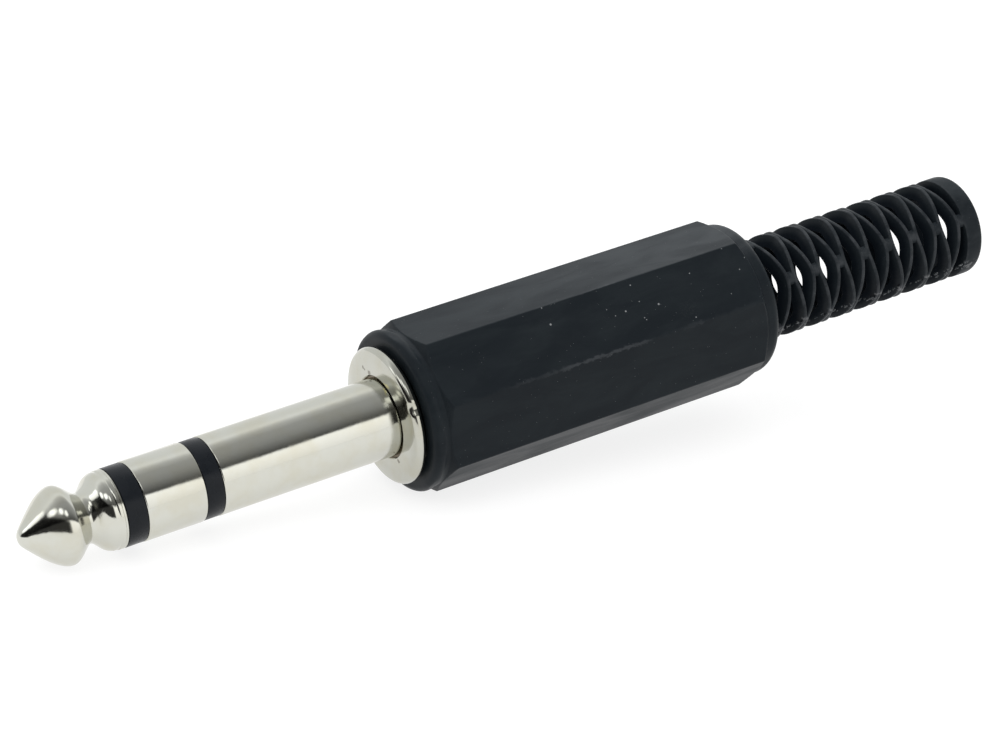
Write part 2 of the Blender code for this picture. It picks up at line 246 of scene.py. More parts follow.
class Nodes:
    """Adds and links the nodes of one shader tree."""

    def __init__(self, tree):
        self.tree = tree

    def add(self, kind, **settings):
        node = self.tree.nodes.new(kind)
        for name, value in settings.items():
            setattr(node, name, value)
        return node

    def put(self, socket, value):
        """Links an output to this socket, or gives it a plain value."""
        if isinstance(value, bpy.types.NodeSocket):
            self.tree.links.new(value, socket)
        else:
            socket.default_value = value

    def math(self, operation, a, b=0.0):
        node = self.add("ShaderNodeMath", operation=operation)
        self.put(node.inputs[0], a)
        self.put(node.inputs[1], b)
        return node.outputs[0]

    def plus(self, a, b):
        return self.math("ADD", a, b)

    def minus(self, a, b):
        return self.math("SUBTRACT", a, b)

    def times(self, first, *others):
        total = first
        for other in others:
            total = self.math("MULTIPLY", total, other)
        return total

    def ramp(self, value, low, high, to_low=0.0, to_high=1.0):
        """A smooth step from one value to another between low and high."""
        node = self.add("ShaderNodeMapRange", interpolation_type="SMOOTHSTEP")
        self.put(node.inputs["Value"], value)
        node.inputs["From Min"].default_value = low
        node.inputs["From Max"].default_value = high
        node.inputs["To Min"].default_value = to_low
        node.inputs["To Max"].default_value = to_high
        return node.outputs["Result"]

    def mix(self, factor, a, b):
        node = self.add("ShaderNodeMix", data_type="RGBA")
        self.put(node.inputs[0], factor)
        self.put(node.inputs[6], a)
        self.put(node.inputs[7], b)
        return node.outputs[2]

    def coords(self):
        return self.add("ShaderNodeTexCoord").outputs["Object"]

    def split(self, vector):
        node = self.add("ShaderNodeSeparateXYZ")
        self.put(node.inputs[0], vector)
        return node.outputs

    def scaled(self, vector, scale):
        """The vector times a scale, given as one number or one for each axis."""
        node = self.add("ShaderNodeMapping", vector_type="POINT")
        self.put(node.inputs["Vector"], vector)
        node.inputs["Scale"].default_value = scale if isinstance(scale, tuple) else (scale,) * 3
        return node.outputs[0]

    def noise(self, vector, scale, detail=3.0, rough=0.5, distortion=0.0):
        node = self.add("ShaderNodeTexNoise")
        self.put(node.inputs["Vector"], self.scaled(vector, scale))
        node.inputs["Scale"].default_value = 1.0
        node.inputs["Detail"].default_value = detail
        node.inputs["Roughness"].default_value = rough
        node.inputs["Distortion"].default_value = distortion
        return node.outputs["Fac"]

    def cells(self, vector, scale, feature="F1"):
        node = self.add("ShaderNodeTexVoronoi", feature=feature)
        self.put(node.inputs["Vector"], self.scaled(vector, scale))
        return node.outputs

    def bump(self, height, strength, distance, normal=None):
        node = self.add("ShaderNodeBump")
        node.inputs["Strength"].default_value = strength
        node.inputs["Distance"].default_value = distance
        self.put(node.inputs["Height"], height)
        if normal is not None:
            self.put(node.inputs["Normal"], normal)
        return node.outputs[0]


def new_material(name):
    mat = bpy.data.materials.new(name)
    mat.use_nodes = True
    shader = mat.node_tree.nodes["Principled BSDF"]
    return mat, shader, Nodes(mat.node_tree)


def spots_mask(n, place, spots, ragged=0.35):
    """1 inside small spots with uneven edges. Each spot is its place and its radius in millimetres."""
    lumps = n.noise(place, 4500.0, 2.0)
    uneven = n.times(n.minus(lumps, 0.5), 4 * ragged)
    total = 0.0
    for x, y, z, radius in spots:
        gap = n.add("ShaderNodeVectorMath", operation="DISTANCE")
        n.put(gap.inputs[0], place)
        gap.inputs[1].default_value = (x * MM, y * MM, z * MM)
        reach = n.plus(n.times(gap.outputs["Value"], 1 / (radius * MM)), uneven)
        total = n.math("MAXIMUM", total, n.ramp(reach, 0.7, 1.1, 1.0, 0.0))
    return total


# Materials of the contacts and of the pieces inside the cover.

NICKEL = (0.6, 0.6, 0.545)
# The flange's nickel is a darker copy of the shaft's: painted shade on the flange's face.
SHADED_FLANGE_NICKEL = (0.49, 0.49, 0.44)
# Painted shade for the ring set in the gap round the shaft.
GAP_SHADE = (0.16, 0.13, 0.09)
PIT = (0.16, 0.13, 0.1, 1)
STAIN = (0.1, 0.085, 0.06, 1)
BARE_BRASS = (0.72, 0.66, 0.36, 1)


def nickel_material(name, tone=NICKEL, rough=0.1, turned=0.06, marks=0.25, bare=(), stains=()):
    """Plated brass. turned is the depth of the lathe's lines, marks how strongly the pits show.
    bare and stains are spots where the plating is worn through or stained."""
    mat, shader, n = new_material(name)
    place = n.coords()
    lines = n.noise(place, (90000.0, 600.0, 600.0), 2.0, 0.6)
    cloud = n.noise(place, 500.0, 4.0, 0.55)
    pit = n.ramp(n.cells(place, 2600.0)["Distance"], 0.05, 0.13, 1.0, 0.0)
    rare = n.ramp(n.noise(place, 900.0, 1.0), 0.62, 0.68)
    pit = n.times(pit, rare, marks)
    red, green, blue = tone
    warm = (red * 0.97, green * 0.95, blue * 0.9, 1)
    color = n.mix(n.ramp(cloud, 0.35, 0.7), (*tone, 1), warm)
    color = n.mix(pit, color, PIT)
    if stains:
        color = n.mix(n.times(spots_mask(n, place, stains), 0.65), color, STAIN)
    if bare:
        color = n.mix(n.times(spots_mask(n, place, bare), 0.9), color, BARE_BRASS)
    n.put(shader.inputs["Base Color"], color)
    shader.inputs["Metallic"].default_value = 1.0
    clouded = n.ramp(cloud, 0.3, 0.75, rough * 0.8, rough * 1.5)
    n.put(shader.inputs["Roughness"], n.plus(clouded, n.times(pit, 0.3)))
    fine = n.bump(lines, turned, 0.00002)
    n.put(shader.inputs["Normal"], n.bump(cloud, 0.04, 0.0004, fine))
    return mat


def insulator_material():
    mat, shader, n = new_material("insulator_black")
    cloud = n.noise(n.coords(), 900.0)
    n.put(shader.inputs["Base Color"], n.mix(cloud, (0.005, 0.0065, 0.009, 1), (0.009, 0.011, 0.014, 1)))
    n.put(shader.inputs["Roughness"], n.ramp(cloud, 0.3, 0.7, 0.22, 0.34))
    shader.inputs["Specular IOR Level"].default_value = 0.16
    n.put(shader.inputs["Normal"], n.bump(cloud, 0.08, 0.0001))
    return mat


def tin_material():
    mat, shader, n = new_material("tin_plating")
    cloud = n.noise(n.coords(), 1400.0, 5.0, 0.6)
    n.put(shader.inputs["Base Color"], n.mix(cloud, (0.7, 0.66, 0.56, 1), (0.62, 0.6, 0.55, 1)))
    shader.inputs["Metallic"].default_value = 1.0
    n.put(shader.inputs["Roughness"], n.ramp(cloud, 0.3, 0.7, 0.25, 0.42))
    n.put(shader.inputs["Normal"], n.bump(cloud, 0.12, 0.0001))
    return mat


def fibre_material():
    mat, shader, n = new_material("washer_fibre")
    strands = n.noise(n.coords(), (5000.0, 1500.0, 1500.0), 4.0, 0.7)
    n.put(shader.inputs["Base Color"], n.mix(strands, (0.03, 0.014, 0.008, 1), (0.075, 0.04, 0.022, 1)))
    n.put(shader.inputs["Roughness"], n.ramp(strands, 0.3, 0.7, 0.55, 0.75))
    n.put(shader.inputs["Normal"], n.bump(strands, 0.25, 0.0001))
    return mat


# The cover's black plastic, with the marks of use, painted shade and painted highlights. Places along it are
# in metres.

PLASTIC_DARK = (0.0085, 0.0115, 0.0145, 1)
PLASTIC_PALE = (0.0125, 0.0165, 0.0195, 1)
# Painted shade for the relief's inner faces, between its ribs.
RECESS_SHADE = (0.003, 0.0045, 0.0075, 1)
SCUFF = (0.16, 0.165, 0.17, 1)
# Pale grey for wear, and for the painted highlights on corners and rib crests.
WORN_AND_HIGHLIGHT = (0.3, 0.31, 0.33, 1)
CRUMB = (0.3, 0.3, 0.31, 1)
DUST_DOT = (0.5, 0.51, 0.52, 1)
PALE_TOP_FILM = (0.42, 0.44, 0.46, 1)
DUST_SPECK = (0.42, 0.43, 0.44, 1)

# The pale corner lines, partly wear and partly painted highlight: angle round the plug in degrees, half
# width in radians, and strength.
WORN_AND_LIT_CORNER_LINES = ((157.2, 0.03, 0.08), (112.2, 0.014, 0.06))


def scuffed(n, place, color, grain):
    """Small scuffs: short pale strokes, mostly along the plug."""
    stroke = n.cells(place, (420.0, 1500.0, 1500.0), "DISTANCE_TO_EDGE")["Distance"]
    where = n.ramp(n.noise(place, (260.0, 330.0, 330.0), 2.0), 0.6, 0.7)
    scuff = n.times(n.ramp(stroke, 0.0, 0.025, 1.0, 0.0), where, 0.1 * grain)
    return n.mix(scuff, color, SCUFF)


def dust_dots(n, place, grain):
    """Sparse pale dots: only a few of the cells hold one."""
    cells = n.cells(place, 1250.0)
    draw = n.add("ShaderNodeSeparateColor")
    n.put(draw.inputs[0], cells["Color"])
    some = n.ramp(draw.outputs[0], 0.93, 0.935)
    return n.times(n.ramp(cells["Distance"], 0.06, 0.11, 1.0, 0.0), some, 0.55 * grain)


def pale_top_film(n, x, smear, color):
    """A paler tone on what faces up, stronger toward the cable and weak on the relief."""
    normal = n.split(n.add("ShaderNodeNewGeometry").outputs["Normal"])
    film = n.times(
        n.ramp(normal[2], 0.8, 0.98),
        n.ramp(smear, 0.3, 0.7, 0.55, 1.45),
        n.ramp(x, 0.0, 0.034, 0.35, 1.0),
        n.ramp(x, 0.0335, 0.0345, 1.0, 0.15),
        0.055,
    )
    return n.mix(film, color, PALE_TOP_FILM)


def corner_wear_and_highlight(n, place, x, turn, color):
    """Pale lines along the corners below and above the side facet: partly wear, partly painted highlight."""
    ragged = n.noise(place, (1800.0, 2600.0, 2600.0), 3.0, 0.65)
    patchy = n.ramp(n.noise(place, (170.0, 100.0, 100.0), 2.0), 0.45, 0.6, 0.12, 1.0)
    ends = n.times(n.ramp(x, 0.006, 0.014, 0.0, 1.0), n.ramp(x, 0.031, 0.033, 1.0, 0.0))
    for angle, width, power in WORN_AND_LIT_CORNER_LINES:
        away = n.math("ABSOLUTE", n.minus(turn, radians(angle)))
        away = n.plus(away, n.times(n.minus(ragged, 0.5), -3.4 * width))
        line = n.times(n.ramp(away, 0.2 * width, width, 1.0, 0.0), patchy, ends, power)
        color = n.mix(line, color, WORN_AND_HIGHLIGHT)
    return color


def relief_shading_and_crumbs(n, place, x, turn, radius, inside, color):
    """The relief: painted shade darkens it between the ribs, a painted highlight runs along their crests,
    and pale crumbs lie along the mould line.
    """
    # Painted shade between the ribs and in the relief's bore.
    color = n.mix(n.times(inside, 0.6), color, RECESS_SHADE)
    on_relief = n.ramp(x, 0.0342, 0.0346)
    before_end = n.ramp(x, 0.0546, 0.0552, 1.0, 0.25)
    # Painted highlight along the ribs' crests, in patches, weaker on the end ring.
    crest_patches = n.ramp(n.noise(place, (700.0, 900.0, 900.0), 4.0, 0.65), 0.35, 0.7, 0.15, 1.0)
    crest_highlight = n.times(n.ramp(radius, 0.00422, 0.00428), crest_patches, on_relief, before_end, 0.09)
    color = n.mix(crest_highlight, color, WORN_AND_HIGHLIGHT)
    # The arc tangent runs from minus pi to pi.
    away = n.math("ABSOLUTE", n.minus(turn, FLASH_ANGLE - 2 * pi))
    crumbs = n.ramp(n.noise(place, 2600.0, 2.0, 0.6), 0.52, 0.62)
    near_line = n.ramp(away, 0.06, 0.17, 1.0, 0.0)
    crumbs = n.times(crumbs, near_line, on_relief, n.ramp(radius, 0.0040, 0.0042), 0.35)
    return n.mix(crumbs, color, CRUMB)


def cover_material(name, grain=1.0, specks=()):
    """Black plastic. grain says how strongly scuffs and dust show, specks are spots of dust."""
    mat, shader, n = new_material(name)
    place = n.coords()
    x, y, z = n.split(place)
    turn = n.math("ARCTAN2", z, y)
    radius = n.math("SQRT", n.plus(n.times(y, y), n.times(z, z)))
    # Where the painted shade goes: the relief's inner faces, between its ribs and in its bore.
    inside = n.times(n.ramp(x, 0.0342, 0.0346), n.ramp(radius, 0.0036, 0.0042, 1.0, 0.0))
    smear = n.noise(place, (150.0, 420.0, 420.0), 4.0, 0.6, 0.6)

    color = n.mix(n.ramp(smear, 0.35, 0.75), PLASTIC_DARK, PLASTIC_PALE)
    color = scuffed(n, place, color, grain)
    dots = dust_dots(n, place, grain)
    color = n.mix(dots, color, DUST_DOT)
    color = pale_top_film(n, x, smear, color)
    if specks:
        color = n.mix(n.times(spots_mask(n, place, specks, 0.2), 0.5), color, DUST_SPECK)
    # Pale corner lines: partly wear, partly painted highlight.
    color = corner_wear_and_highlight(n, place, x, turn, color)
    color = relief_shading_and_crumbs(n, place, x, turn, radius, inside, color)
    n.put(shader.inputs["Base Color"], color)

    wide = n.ramp(n.noise(place, (60.0, 140.0, 140.0), 2.0), 0.3, 0.7, -0.03, 0.05)
    rough = n.plus(n.ramp(smear, 0.3, 0.8, 0.36, 0.5), wide)
    n.put(shader.inputs["Roughness"], n.plus(rough, n.times(dots, 0.3)))
    # The relief's inner faces also reflect less: painted shade there.
    n.put(shader.inputs["Specular IOR Level"], n.minus(0.08, n.times(inside, 0.07)))
    grainy = n.bump(n.noise(place, 9000.0, 3.0, 0.6), 0.18, 0.00002)
    n.put(shader.inputs["Normal"], n.bump(smear, 0.12, 0.00018, grainy))
    return mat


# Contacts.

# The tip's outline from the nose: how far back, and the radius.
TIP_KEYS = [
    (0.0, 0.0), (0.02, 0.22), (0.1, 0.46), (0.28, 0.72), (0.62, 1.08), (1.1, 1.57), (1.6, 2.05), (2.1, 2.48),
    (2.6, 2.82), (3.0, 3.02), (3.4, 3.12), (3.65, 3.1), (3.9, 2.99), (4.15, 2.81), (4.4, 2.59),
    (4.65, 2.36), (4.85, 2.19), (5.05, 2.06), (5.25, 2.0), (5.45, 2.05), (5.65, 2.18), (5.85, 2.37),
    (6.05, 2.58), (6.25, 2.78), (6.45, 2.92), (6.65, 3.01), (6.85, 3.07), (7.03, 3.06), (7.08, 3.06),
    (7.14, 3.11), (7.26, 3.13), (7.38, 3.13),
]
TIP_POINTS = 150


def rounded_end(x, r, size, front, count):
    """A quarter round at the edge of a turned piece, at its front or its rear."""
    if front:
        return arc(x + size, r - size, size, 180, 90, count)
    return arc(x - size, r - size, size, 90, 0, count)


def build_tip(nickel):
    nose = TIP_END - TIP_LENGTH
    line = [(nose + x, max(r, 0.0)) for x, r in curve_through(TIP_KEYS, TIP_POINTS)]
    line[0] = (nose, 0.0)
    # A fine groove behind the waist, then the end face, the rod and its riveted end.
    groove = ((0.24, 0.0), (0.22, GROOVE_DEPTH), (0.19, 0.0), (0.06, 0.0), (0.0, 0.07))
    line += [(TIP_END - back, TIP_RIM_R - deep) for back, deep in groove]
    line += [(TIP_END, ROD_R), (ROD_END, ROD_R), (ROD_END, RIVET_R), (ROD_END + 0.2, RIVET_R)]
    line += [(ROD_END + 0.38, RIVET_R - 0.18), (ROD_END + 0.48, ROD_R), (ROD_END + RIVET_LENGTH, 0.0)]
    dress(revolve("tip_turned", line, closed=False), "tip_contact", nickel, "plug")


def build_ring(nickel):
    line = rounded_end(RING_START, SHAFT_R, EDGE_R, True, 4)
    line += rounded_end(RING_END, SHAFT_R, EDGE_R, False, 4)
    line += [(RING_END, RING_TAIL_R), (RING_TAIL_END, RING_TAIL_R)]
    line += [(RING_TAIL_END, RING_BORE_R), (RING_START, RING_BORE_R)]
    dress(revolve("ring_turned", line), "ring_contact", nickel, "plug")


def build_sleeve(nickel):
    line = rounded_end(SLEEVE_START, SHAFT_R, EDGE_R, True, 4)
    line += [(HUB_END, SHAFT_R), (HUB_END, SLEEVE_BORE_R), (SLEEVE_START, SLEEVE_BORE_R)]
    dress(revolve("sleeve_turned", line), "sleeve_contact", nickel, "plug")


def build_insulator(node, front, rear, bore_r, tube_r, tube_end, black):
    """A collar between two contacts, with its tube that runs back through the shaft."""
    start = front + INSULATOR_GAP
    end = rear - INSULATOR_GAP
    line = rounded_end(start, INSULATOR_R, INSULATOR_EDGE_R, True, 3)
    line += rounded_end(end, INSULATOR_R, INSULATOR_EDGE_R, False, 3)
    line += [(end, tube_r), (tube_end, tube_r), (tube_end, bore_r), (start, bore_r)]
    dress(revolve(node + "_moulded", line), node, black, "plug")


def build_contacts():
    nickel = nickel_material("nickel")
    build_tip(nickel)
    build_ring(nickel)
    build_sleeve(nickel)
    black = insulator_material()
    build_insulator("tip_insulator", TIP_END, RING_START, 1.25, 1.65, 10.1, black)
    build_insulator("ring_insulator", RING_END, SLEEVE_START, 2.25, 2.6, 8.3, black)


# Flange.


def on_face(radius, degrees, size, x=0.0):
    """A spot on the flange's face: its place and its own radius."""
    return (*around(x, radius, radians(degrees)), size)


BARE_SPOTS = (on_face(3.55, 112, 0.2), on_face(3.68, 116, 0.16), on_face(3.46, 107, 0.14))
STAIN_SPOTS = (
    on_face(4.15, 56, 0.16), on_face(3.95, 58, 0.12), on_face(3.7, 231, 0.2),
    on_face(3.6, 68, 0.25), on_face(5.5, 281, 0.2, 0.1),
)


def nicked(x, r, angle):
    """Presses the nick into the flange's rim."""
    away = abs(angle - NICK_ANGLE) / NICK_HALF
    inner_r = FLANGE_R - NICK_REACH
    if r < inner_r or x > FLANGE_T + 0.1 or away > 1:
        return (x, r)
    deep = NICK_DEPTH * (1 - away * away) ** 2 * (r - inner_r) / NICK_REACH
    return (x + 0.6 * deep, r - deep)


def build_flange():
    # The flange's darker nickel tone is painted shade.
    nickel = nickel_material("nickel_flange", SHADED_FLANGE_NICKEL, 0.12, 0.03, 0.5, BARE_SPOTS, STAIN_SPOTS)
    line = [(0.0, HOLE_R), (0.0, 4.3), (0.0, FLANGE_R - FLANGE_RIM - 0.05)]
    line += arc(FLANGE_T / 2, FLANGE_R - FLANGE_RIM, FLANGE_RIM, 180, 0, 16)
    line += [(FLANGE_T, THREAD_ROOT_R), (THREAD_START, THREAD_ROOT_R)]
    for turn in range(THREAD_TURNS):
        x = THREAD_START + turn * THREAD_PITCH
        line += [(x + dx, r) for dx, r in THREAD_RIB]
    line += [(HUB_END - 0.3, THREAD_ROOT_R), (HUB_END, HUB_R - 0.45)]
    line += [(HUB_END, HUB_BORE_R), (HOLE_DEPTH, HUB_BORE_R)]
    line += [(HOLE_DEPTH, HOLE_R - 0.07), (0.07, HOLE_R - 0.07)]
    flange = revolve("flange_turned", line, 360, shape=nicked, sharp=35)

    # A dark ring set back in the gap round the shaft: painted shade in the gap.
    fill_r = HOLE_R - 0.08
    line = [(0.3, SEAT_R), (0.3, fill_r), (0.6, fill_r), (0.6, SEAT_R)]
    seat = revolve("flange_seat", line, sharp=35)
    gap_shade = nickel_material("painted_shade_in_gap", GAP_SHADE, 0.35, 0.0, 0.5)
    dress(seat, "threaded_flange", gap_shade, "plug", False)
    dress(flange, "threaded_flange", nickel, "plug")


# Cover.

# Specks of dust on the side facet, each with its distance along the plug, its distance below
# the facet's middle line and its size.
DUST = [
    (21.6, -2.1, 0.07), (18.7, -0.8, 0.05), (19.2, -0.1, 0.06), (20.2, -0.2, 0.10),
    (21.7, -0.6, 0.06), (21.5, 0.8, 0.07), (21.6, 1.0, 0.06), (23.2, 0.1, 0.11),
    (27.0, -1.5, 0.08), (25.8, 2.1, 0.07), (31.4, -0.5, 0.07), (32.3, -1.3, 0.05),
    (29.7, 1.2, 0.06), (31.6, 2.8, 0.06), (30.7, -2.6, 0.05), (13.5, -2.6, 0.06),
    (13.6, -1.1, 0.11),
]
SIDE_FACET = radians(135)
SPECK_SIZE = 0.78


def facet_point(x, down, size):
    """A speck's place on the side facet and its radius."""
    y = FLAT_R * cos(SIDE_FACET) - down * sin(SIDE_FACET)
    z = FLAT_R * sin(SIDE_FACET) + down * cos(SIDE_FACET)
    return (x, y, z, SPECK_SIZE * size)


def octagon_radius(angle):
    """Radius of an octagon with rounded corners, flats at 0, 45 degrees and so on."""
    half = pi / 8
    a = (angle + half) % (2 * half) - half
    centre = (FLAT_R - CORNER_SOFT) / cos(half)
    gap = half - abs(a)
    tangent = half - atan2((FLAT_R - CORNER_SOFT) * sin(half) / cos(half), FLAT_R)
    if gap >= tangent:
        return FLAT_R / cos(a)
    b = centre * cos(gap)
    return b + sqrt(max(b * b - centre * centre + CORNER_SOFT * CORNER_SOFT, 0.0))


def soft_min(a, b, k):
    """The smaller of two values, with a rounded change from one to the other."""
    h = max(k - abs(a - b), 0.0) / k
    return min(a, b) - h * h * k * 0.25


def cover_angles():
    """Angles round the cover, close together at the octagon's corners."""
    near = (0.02, 0.045, 0.07, 0.1, 0.15, 0.25, 0.4, 0.6, 0.8)
    parts = [-1.0, *(-t for t in reversed(near)), 0.0, *near]
    half = pi / 8
    return [half + i * pi / 4 + t * half for i in range(8) for t in parts]


def cover_radius(x, r, angle):
    """What the octagon leaves of the turned outline."""
    if not CUT_START < x < COVER_END - COLLAR_ROUND:
        return r
    flats = octagon_radius(angle)
    if r >= BEYOND_R:
        return flats
    if x < SOFT_START:
        return min(r, flats)
    return soft_min(r, flats, 0.05)


def cover_outside():
    """The outside's turned outline: lip, neck, chamfer, room for the octagon, chamfer and collar."""
    line = [(COVER_START, BORE_R + 0.1), (COVER_START, 5.4)]
    line += arc(COVER_START + LIP_ROUND, LIP_R - LIP_ROUND, LIP_ROUND, 180, 56, 14)
    line += [(NECK_END - 0.3, NECK_R + 0.015), (NECK_END - 0.16, NECK_R)]
    line += [(NECK_END - 0.06, NECK_R), (NECK_END - 0.01, NECK_R + 0.01)]
    slope = (CORNER_R - NECK_R) / CHAMFER
    line += [(NECK_END + t, NECK_R + slope * t) for t in np.linspace(0.02, 0.66, 16)]
    line += [(x, BEYOND_R) for x in (3.3, 3.9, 5.0, 8.0, 12.0, 16.0, 20.0, 24.0, 28.0, 30.4, 31.4)]
    slope = (CORNER_R - COLLAR_R) / CHAMFER
    rear = FLATS_END + CHAMFER
    line += [(rear - t, COLLAR_R + slope * t) for t in np.linspace(0.75, 0.02, 16)]
    line += [(rear + t, COLLAR_R - 0.01) for t in (0.02, 0.2, 0.5)]
    line += arc(COVER_END - COLLAR_ROUND, COLLAR_R - COLLAR_ROUND - 0.01, COLLAR_ROUND, 90, 0, 12)
    return line + [(COVER_END, 5.2), (COVER_END, 4.6)]


def cover_inside():
    """The cavity's outline from the rear to the mouth, with the thread as rings."""
    line = [(COVER_END, CABLE_R), (CAVITY_END + 2.0, CABLE_R), (CAVITY_END, CAVITY_R)]
    line += [(BORE_DEPTH + 0.2, CAVITY_R), (BORE_DEPTH, BORE_R)]
    for turn in range(BORE_TURNS):
        x = BORE_DEPTH - 0.8 - turn * THREAD_PITCH
        line += [(x + 0.3, BORE_R), (x + 0.1, BORE_R - 0.12)]
        line += [(x - 0.1, BORE_R - 0.12), (x - 0.3, BORE_R)]
    return line + [(COVER_START + 0.1, BORE_R)]


def build_cover():
    plastic = cover_material("cover_plastic", 1.0, [facet_point(*speck) for speck in DUST])
    angles = cover_angles()
    outside = cover_outside()
    inside = cover_inside()
    points = [around(x, cover_radius(x, r, a), a) for x, r in outside for a in angles]
    points += [around(x, r, a) for x, r in inside for a in angles]
    faces = grid_faces(len(outside) + len(inside), len(angles), True)
    body = new_mesh("cover_moulded", points, faces, 28)
    dress(body, "screw_cover", plastic, "cover")
    build_relief(cover_material("relief_plastic", 0.5))


# Bend relief.


def wave_at(angle):
    """How far a ring swings toward its node at this angle round the plug: a rounded zigzag."""
    zigzag = asin(WAVE_PEAK * cos(3 * (angle - NODE_ANGLE))) / asin(WAVE_PEAK)
    return WAVE * zigzag + WAVE_MEAN


def lean_at(angle):
    """The moulding isn't square: on the far side its rings lean toward the end ring."""
    return LEAN * max(0.0, -cos(angle - NODE_ANGLE)) ** 2


def wavy_ring(points, faces, x_mid, sign):
    """One ring of the relief: narrow outside, its sides slope, and it waves along X."""
    steps = 192
    # Half of the section, from the crest to the bore, as distances from its middle.
    half = [
        (0.1, RELIEF_R), (0.16, RELIEF_R - 0.04), (0.2, RELIEF_R - 0.12),
        (0.6, RIB_BORE_R + 0.1), (0.54, RIB_BORE_R),
    ]
    section = [(-dx, r) for dx, r in reversed(half)] + half
    start = len(points)
    for j in range(steps):
        a = 2 * pi * j / steps
        x = x_mid + sign * wave_at(a) + lean_at(a)
        points.extend(around(x + dx, r, a) for dx, r in section)
    faces.extend(hoop_faces(steps, len(section), start))


def node_bridge(points, faces, node_x, angle, half=0.4, reach=7.5):
    """The short web that joins two rings, this many degrees to either side of its middle."""
    rows = 6
    start = len(points)
    for i in range(rows + 1):
        part = 2 * i / rows - 1
        a = angle + radians(reach) * part
        out = RELIEF_R - 0.015 - 0.12 * part**4
        for dx, r in ((-half, CABLE_R), (0.04 - half, out), (half - 0.04, out), (half, CABLE_R)):
            points.append(around(node_x + dx, r, a))
    for i in range(rows):
        a = start + 4 * i
        for j in range(4):
            k = (j + 1) % 4
            faces.append((a + j, a + 4 + j, a + 4 + k, a + k))
    last = start + 4 * rows
    faces.append((start, start + 1, start + 2, start + 3))
    faces.append((last + 3, last + 2, last + 1, last))


def build_end():
    """The end ring. Its inner edge follows the last wave, so that it closes on the last node."""
    steps = 160
    first = LAST_NODE + NODE_PITCH / 4
    edge = [(-0.3, CABLE_R), (-0.2, RELIEF_R - 0.1), (-0.17, RELIEF_R - 0.03), (-0.1, RELIEF_R)]
    line = arc(RELIEF_END - 0.45, RELIEF_R - 0.45, 0.45, 90, 0, 8)
    line += [(RELIEF_END, CABLE_R + 0.2), (RELIEF_END - 0.2, CABLE_R), (RELIEF_END - 0.6, CABLE_R)]
    points = []
    for j in range(steps):
        a = 2 * pi * j / steps
        x = min(first - wave_at(a), RELIEF_END - 1.55)
        points += [around(x + dx, r, a) for dx, r in edge]
        points += [around(x, r, a) for x, r in line]
    return new_mesh("relief_end", points, hoop_faces(steps, len(edge) + len(line)), 30)


def build_rings():
    """The rings in pairs, with the webs that join them."""
    points = []
    faces = []
    for i in range(NODE_COUNT):
        # At its three nodes a pair of rings closes, and between the nodes each meets the next pair.
        node = LAST_NODE - NODE_PITCH * i
        wavy_ring(points, faces, node - NODE_PITCH / 4, 1)
        if i > 0:
            wavy_ring(points, faces, node + NODE_PITCH / 4, -1)
        for third in range(3):
            angle = NODE_ANGLE + 2 * pi * third / 3
            node_bridge(points, faces, node, angle)
            between = angle + pi / 3
            lean = LEAN if third == 1 else 0.0
            node_bridge(points, faces, node - NODE_PITCH / 2 + lean, between, 0.34)
    # Pads on the far side, where plastic flowed into two slots.
    for i in (2, 3):
        node_bridge(points, faces, LAST_NODE - NODE_PITCH * i + LEAN, NODE_ANGLE + pi, 1.0, 19)
    return new_mesh("relief_rings", points, faces, 35)


def build_root():
    """The short neck between the collar and the first ring."""
    line = [(COVER_END - 0.02, 4.7), (COVER_END + 0.2, RELIEF_R + 0.02), (COVER_END + 0.9, RELIEF_R)]
    line += [(COVER_END + 0.9, CABLE_R + 0.01), (COVER_END - 0.02, CABLE_R + 0.01)]
    return revolve("relief_root", line)


def build_flash():
    """Crumbs of flash where the mould's halves meet, along the relief's lower edge."""
    draw = random.Random(11)
    corners = 8
    points = []
    faces = []
    for i in range(CRUMB_COUNT):
        x = FLASH_START + FLASH_LENGTH * (i + draw.uniform(-0.5, 0.5)) / CRUMB_COUNT
        a = FLASH_ANGLE + radians(draw.uniform(-3.5, 3.5))
        size = draw.uniform(0.05, 0.16)
        lift = RELIEF_R + draw.uniform(-0.08, 0.0)
        start = len(points)
        for j in range(corners):
            turn = 2 * pi * j / corners
            reach = size * draw.uniform(0.6, 1.5)
            points.append(around(x + reach * cos(turn) * 1.3, lift, a + reach * sin(turn) / RELIEF_R))
        points.append(around(x, RELIEF_R - 0.25, a))
        points.append(around(x, min(lift + size * 0.5, RELIEF_R + 0.01), a))
        foot = start + corners
        for j in range(corners):
            k = (j + 1) % corners
            faces.append((start + j, start + k, foot))
            faces.append((start + k, start + j, foot + 1))
    return new_mesh("relief_flash", points, faces)


def build_relief(plastic):
    for obj in (build_rings(), build_end(), build_root(), build_flash()):
        dress(obj, "screw_cover", plastic, "cover", False)


# Stage, light and camera, in metres.

TABLE_HALF = 3.0
TABLE_DROP = 0.00005
TABLE_GREY = 0.23
TABLE_GLOW = 0.82

LIGHT_HEIGHT = 0.7
LIGHT_SIZE = 1.4
LIGHT_POWER = 9.0

# The room's brightness against the turn about the plug's axis: 0 is level on the near side,
# 0.5 overhead and 1 level behind.
ROOM_STOPS = (
    (0.0, 1.2), (0.185, 1.5), (0.212, 0.08), (0.28, 0.2), (0.36, 0.33), (0.43, 0.4),
    (0.52, 0.45), (0.6, 0.64), (0.67, 1.05), (0.76, 0.95), (1.0, 0.95),
)
ROOM_LOW_TINT = (1.0, 0.995, 0.985, 1)
ROOM_TINT = (0.98, 0.995, 1.0, 1)
ROOM_SHADE = 0.97

# Round lamps toward the nose: azimuth and height in degrees, and brightness.
LAMPS = ((160, 25, 1.5), (183, 41, 1.6), (211, 54, 1.6), (248, 56, 1.5))
LAMP_INNER = radians(5.5)
LAMP_OUTER = radians(10.5)

